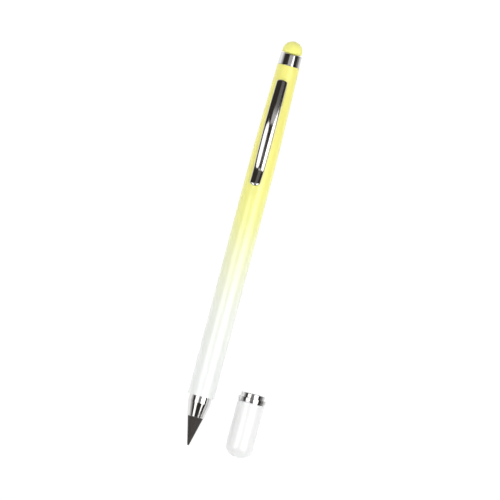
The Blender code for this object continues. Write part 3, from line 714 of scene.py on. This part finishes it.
outline = [(0.0, LINER_END), (LINER_END_RADIUS, LINER_END)]
outline += arc(dome_centre, LINER_RADIUS, -LINER_DOME, math.pi / 4, 0.0, steps=8)[1:]
outline += [
    (LINER_RADIUS, LINER_MOUTH),
    (LINER_BORE_RADIUS + LINER_MOUTH_FLARE, LINER_MOUTH),
    (LINER_BORE_RADIUS, LINER_MOUTH - LINER_MOUTH_DEPTH),
    (LINER_BORE_RADIUS, RIB_START),
    (LINER_BORE_RADIUS, RIB_START - RIB_HEIGHT * 2),
    (LINER_BORE_RADIUS, RIB_END),
    (LINER_BORE_RADIUS, CAP_DOME_START),
    (LINER_END_RADIUS - LINER_FLOOR_INSET, LINER_FLOOR),
    (0.0, LINER_FLOOR),
]
liner = turn(outline, CAP_AXIS, segments=LINER_SEGMENTS)
ribs = []
for face in liner.faces:
    centre = face.calc_center_median()
    out = outward(centre, CAP_AXIS)
    on_bore = abs(out.length - LINER_BORE_RADIUS) < RIB_SLACK and RIB_END < centre.y < RIB_START
    from_rib = (math.atan2(-out.z, out.x) / math.tau * RIB_COUNT) % 1.0 - 0.5
    if on_bore and abs(from_rib) < RIB_HALF_SHARE:
        ribs.append(face)
for vert in extrude(liner, ribs)[1]:
    if vert.co.y < RIB_START - RIB_SLACK:
        vert.co -= outward(vert.co, CAP_AXIS).normalized() * RIB_HEIGHT
bmesh.ops.remove_doubles(liner, verts=liner.verts, dist=SAME_PLACE * 10)
bmesh.ops.recalc_face_normals(liner, faces=liner.faces)
round_edges(liner, LINER_EDGE_ROUND)
add_piece("cap_grip_liner", liner, "cap", "cap_liner", "inner_plastic", moulded.made)

# The ring on the cap's mouth is turned and bright plated: a thin spigot that enters the barrel, a
# flange that stops it, a shadow groove, and a sleeve pressed into the shell.
CAP_SEAT = -0.0504
SPIGOT_END = -0.04895
FLANGE_END = -0.0516
GROOVE_END = -0.05205
SLEEVE_END = -0.05555
SPIGOT_RADIUS = 0.0042
FLANGE_RADIUS = 0.00485
GROOVE_RADIUS = 0.00465
SLEEVE_RADIUS = 0.004275
RING_BORE_RADIUS = 0.00395
RING_EDGE_ROUND = 0.00006

ring = turn([
    (RING_BORE_RADIUS, SPIGOT_END),
    (SPIGOT_RADIUS, SPIGOT_END),
    (SPIGOT_RADIUS, CAP_SEAT),
    (FLANGE_RADIUS, CAP_SEAT),
    (FLANGE_RADIUS, FLANGE_END),
    (GROOVE_RADIUS, FLANGE_END),
    (GROOVE_RADIUS, GROOVE_END),
    (SLEEVE_RADIUS, GROOVE_END),
    (SLEEVE_RADIUS, SLEEVE_END),
    (RING_BORE_RADIUS, SLEEVE_END),
], CAP_AXIS, closed=True)
round_edges(ring, RING_EDGE_ROUND)
add_piece("cap_ring_plated", ring, "cap", "cap_ring", "chrome", turned_chrome.made)

# The floor is white paper. The camera and the plating see it nearly at full white, with the
# pencil's shadow left in it, and in the plating a painted reflection darkens it away to the right.
FLOOR_RADIUS = 2.5
PAPER = 0.80
PAPER_GLOW = 0.90
WHITE_STRENGTH = 1.06
DARK_STRENGTH = 0.13
DARKENS_FROM = 0.002
DARKENS_TO = 0.027
DARKENING_SLANT = 0.15

bpy.ops.mesh.primitive_circle_add(
    vertices=96, radius=FLOOR_RADIUS, fill_type="NGON", location=(0, 0, 0),
)
floor = bpy.context.object
floor.name = "floor"
paper = Finish("white_paper", (PAPER, PAPER, PAPER), roughness=0.9)
place = paper.add("SeparateXYZ", {0: paper.place}).outputs
# Painted reflection: the plating sees the paper glow white near the pencil and dark to its right,
# standing in for a dark room there.
slanted = paper.math("MULTIPLY_ADD", place["Y"], DARKENING_SLANT, place["X"])
fading = paper.add("MapRange", {
    "Value": slanted, "From Min": DARKENS_FROM, "From Max": DARKENS_TO,
    "To Min": WHITE_STRENGTH, "To Max": DARK_STRENGTH,
}, interpolation_type="SMOOTHSTEP").outputs[0]
seen_by = paper.add("LightPath").outputs
lit = paper.add("BsdfDiffuse", {"Color": (PAPER, PAPER, PAPER, 1.0)}).outputs[0]
white_glow = paper.add("Emission", {"Strength": WHITE_STRENGTH}).outputs[0]
painted_reflection_glow = paper.add("Emission", {"Strength": fading}).outputs[0]
to_camera = paper.math("MULTIPLY", seen_by["Is Camera Ray"], PAPER_GLOW)
to_plating = paper.math("MULTIPLY", seen_by["Is Glossy Ray"], PAPER_GLOW)
other_paper = paper.add("MixShader", {0: to_plating, 1: lit, 2: painted_reflection_glow}).outputs[0]
all_paper = paper.add("MixShader", {0: to_camera, 1: other_paper, 2: white_glow}).outputs[0]
paper.links.new(all_paper, paper.nodes["Material Output"].inputs["Surface"])
paper.nodes.remove(paper.shader)
floor.data.materials.append(paper.made)

# Two oval soft lights hang over the table and face the pencil, the right one wider, with three
# grey cards between them and a low light beyond the dome. In the plating the first two show less
# bright than they light the lacquer, and the low one doesn't show.
GLEAM_NEARER = 0.97


def hang(name, centre, radiance, size, shape="RECTANGLE", shows="both"):
    """An even light of this radiance. An oval one faces the origin, and a card hangs level."""
    lamp = bpy.data.lights.new(name, "AREA")
    lamp.shape = shape
    lamp.size, lamp.size_y = size
    is_oval = shape == "ELLIPSE"
    lamp.energy = radiance * math.pi * lamp.size * lamp.size_y * (math.pi / 4 if is_oval else 1)
    hung = bpy.data.objects.new(name, lamp)
    bpy.context.collection.objects.link(hung)
    hung.visible_camera = False
    hung.visible_diffuse = shows != "gleam"
    hung.visible_glossy = shows != "light"
    away = Vector(centre)
    facing = away.to_track_quat("Z", "Y").to_matrix() if is_oval else Matrix.Identity(3)
    hung.matrix_world = Matrix.Translation(away) @ facing.to_4x4()


def soft_light(name, centre, radiance, gleam, size):
    """An oval light, and just in front of it one of the same outline that only gloss shows."""
    hang(name, centre, radiance, size, "ELLIPSE", "light")
    nearer_size = [side * GLEAM_NEARER for side in size]
    hang(name + "_gleam", Vector(centre) * GLEAM_NEARER, gleam, nearer_size, "ELLIPSE", "gleam")


soft_light("left_light", (-0.248, -0.152, 0.600), radiance=4.15, gleam=1.5, size=(0.43, 0.47))
soft_light("right_light", (0.576, -0.128, 0.616), radiance=4.6, gleam=2.6, size=(0.56, 0.63))
hang("back_light", (-0.05, 0.78, 0.40), 3.2, (0.30, 0.50), shape="ELLIPSE", shows="light")
hang("upper_card", (0.165, 0.0885, 0.600), 0.48, (0.45, 0.077))
hang("far_card", (0.19, 0.2635, 0.600), 0.105, (0.36, 0.273))
hang("middle_card", (0.10, -0.07, 0.600), 0.22, (0.22, 0.10))

# The room is dark above, with low white screens to the left and, less bright, to the right of the
# table. The plating shows the left one alone.
RIGHT_SCREEN_SHARE = 0.80
DARK_LIGHT = (0.10, 0.10, 0.10)
SCREEN_LIGHT = (1.25, 1.25, 1.25)
DARK_GLEAM = (0.034, 0.029, 0.026)
SCREEN_GLEAM = (0.66, 0.66, 0.66)

world = bpy.data.worlds.new("room")
bpy.context.scene.world = world
world.use_nodes = True
world.node_tree.nodes.clear()


def world_node(kind, inputs, **settings):
    node = world.node_tree.nodes.new("ShaderNode" + kind)
    for setting, value in settings.items():
        setattr(node, setting, value)
    for socket, value in inputs.items():
        if isinstance(value, bpy.types.NodeSocket):
            world.node_tree.links.new(value, node.inputs[socket])
        else:
            node.inputs[socket].default_value = value
    return node


def world_math(operation, *values):
    return world_node("Math", dict(enumerate(values)), operation=operation).outputs[0]


def rise(value, start, end):
    """Nought at start and one at end, with a soft change between them."""
    spread = {"Value": value, "From Min": start, "From Max": end}
    return world_node("MapRange", spread, interpolation_type="SMOOTHSTEP").outputs[0]


def room(dark, pale, side):
    """The dark room with its pale screens, which are low and lie to this side."""
    inputs = {0: world_math("MULTIPLY", low, side), 6: (*dark, 1.0), 7: (*pale, 1.0)}
    colour = world_node("Mix", inputs, data_type="RGBA").outputs[2]
    return world_node("Background", {"Color": colour}).outputs[0]


looking = world_node("TexCoord", {}).outputs["Generated"]
parts = world_node("SeparateXYZ", {0: looking}).outputs
low = rise(parts["Z"], start=0.60, end=0.10)
on_left = rise(parts["X"], start=-0.15, end=-0.60)
on_right = rise(parts["X"], start=0.15, end=0.60)
on_either = world_math("MAXIMUM", on_left, world_math("MULTIPLY", on_right, RIGHT_SCREEN_SHARE))

path = world_node("LightPath", {}).outputs
lighting = room(DARK_LIGHT, SCREEN_LIGHT, on_either)
in_plating = room(DARK_GLEAM, SCREEN_GLEAM, on_left)
behind = world_node("Background", {"Color": (1.0, 1.0, 1.0, 1.0)}).outputs[0]
around = world_node("MixShader", {0: path["Is Glossy Ray"], 1: lighting, 2: in_plating}).outputs[0]
mixed = world_node("MixShader", {0: path["Is Camera Ray"], 1: around, 2: behind}).outputs[0]
world_node("OutputWorld", {"Surface": mixed})
bpy.context.scene.view_settings.view_transform = "Standard"

# The camera looks down through a long lens. It is leaned 8.5 degrees to the cap's side, and turned
# so that the pencil leans 14.86 degrees to the right.
LOOKS_AT = Vector((-0.00548, -0.00142, 0.0040))
DISTANCE = 2.4
TILT = math.radians(8.5)
LEAN = math.radians(14.857)
LENS = 503.2
SENSOR = 36.0
NEAREST = 0.01

back = Vector((math.sin(TILT), 0.0, math.cos(TILT)))
sideways = Vector((math.cos(TILT), 0.0, -math.sin(TILT)))
lengthways = Vector((0.0, 1.0, 0.0))
right = sideways * math.cos(LEAN) + lengthways * math.sin(LEAN)
up = lengthways * math.cos(LEAN) - sideways * math.sin(LEAN)
turned = Matrix((right, up, back)).transposed().to_4x4()
lens = bpy.data.cameras.new("camera")
lens.lens = LENS
lens.sensor_width = SENSOR
lens.clip_start = NEAREST
camera = bpy.data.objects.new("camera", lens)
bpy.context.collection.objects.link(camera)
camera.matrix_world = Matrix.Translation(LOOKS_AT + back * DISTANCE) @ turned
bpy.context.scene.camera = camera
